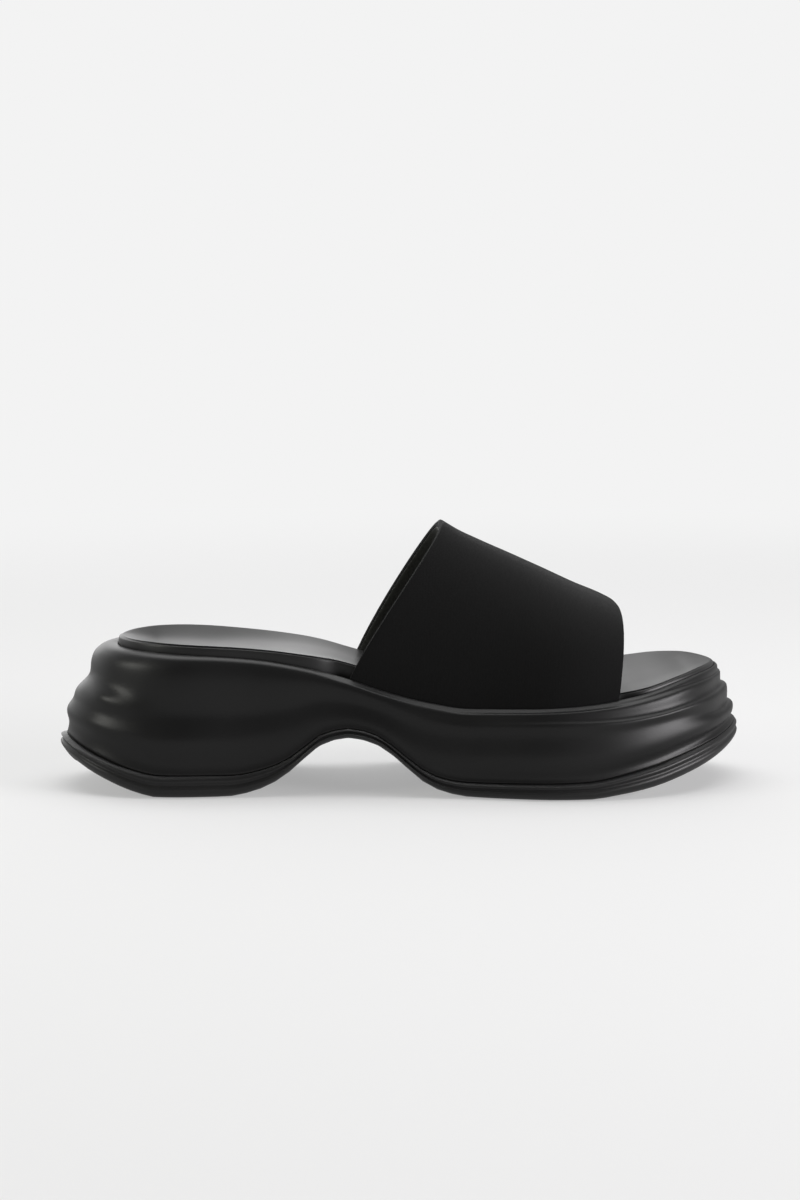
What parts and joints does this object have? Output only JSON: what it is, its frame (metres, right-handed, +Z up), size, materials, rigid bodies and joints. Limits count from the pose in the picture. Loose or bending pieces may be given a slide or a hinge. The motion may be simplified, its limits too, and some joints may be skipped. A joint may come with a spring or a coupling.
{
  "type": "platform mule",
  "caption": "Right platform mule: wide padded band over a dished insole on a moulded sole with arch notch, waved sides and a rubber outsole.",
  "frame": {"origin": "on the floor, under the middle of the shoe's box", "axes": "+X to the toe, +Y to the medial side, +Z up"},
  "size_m": [0.276, 0.1046, 0.1046],
  "materials": {
    "outsole": "satin black rubber",
    "midsole": "satin black moulded foam",
    "insole": "smooth dark coated cover with a soft sheen",
    "upper": "matte black knit over foam"
  },
  "bodies": {
    "root": {"outsole": "outsole", "midsole": "midsole", "insole": "insole", "upper": "upper"}
  },
  "joints": []
}
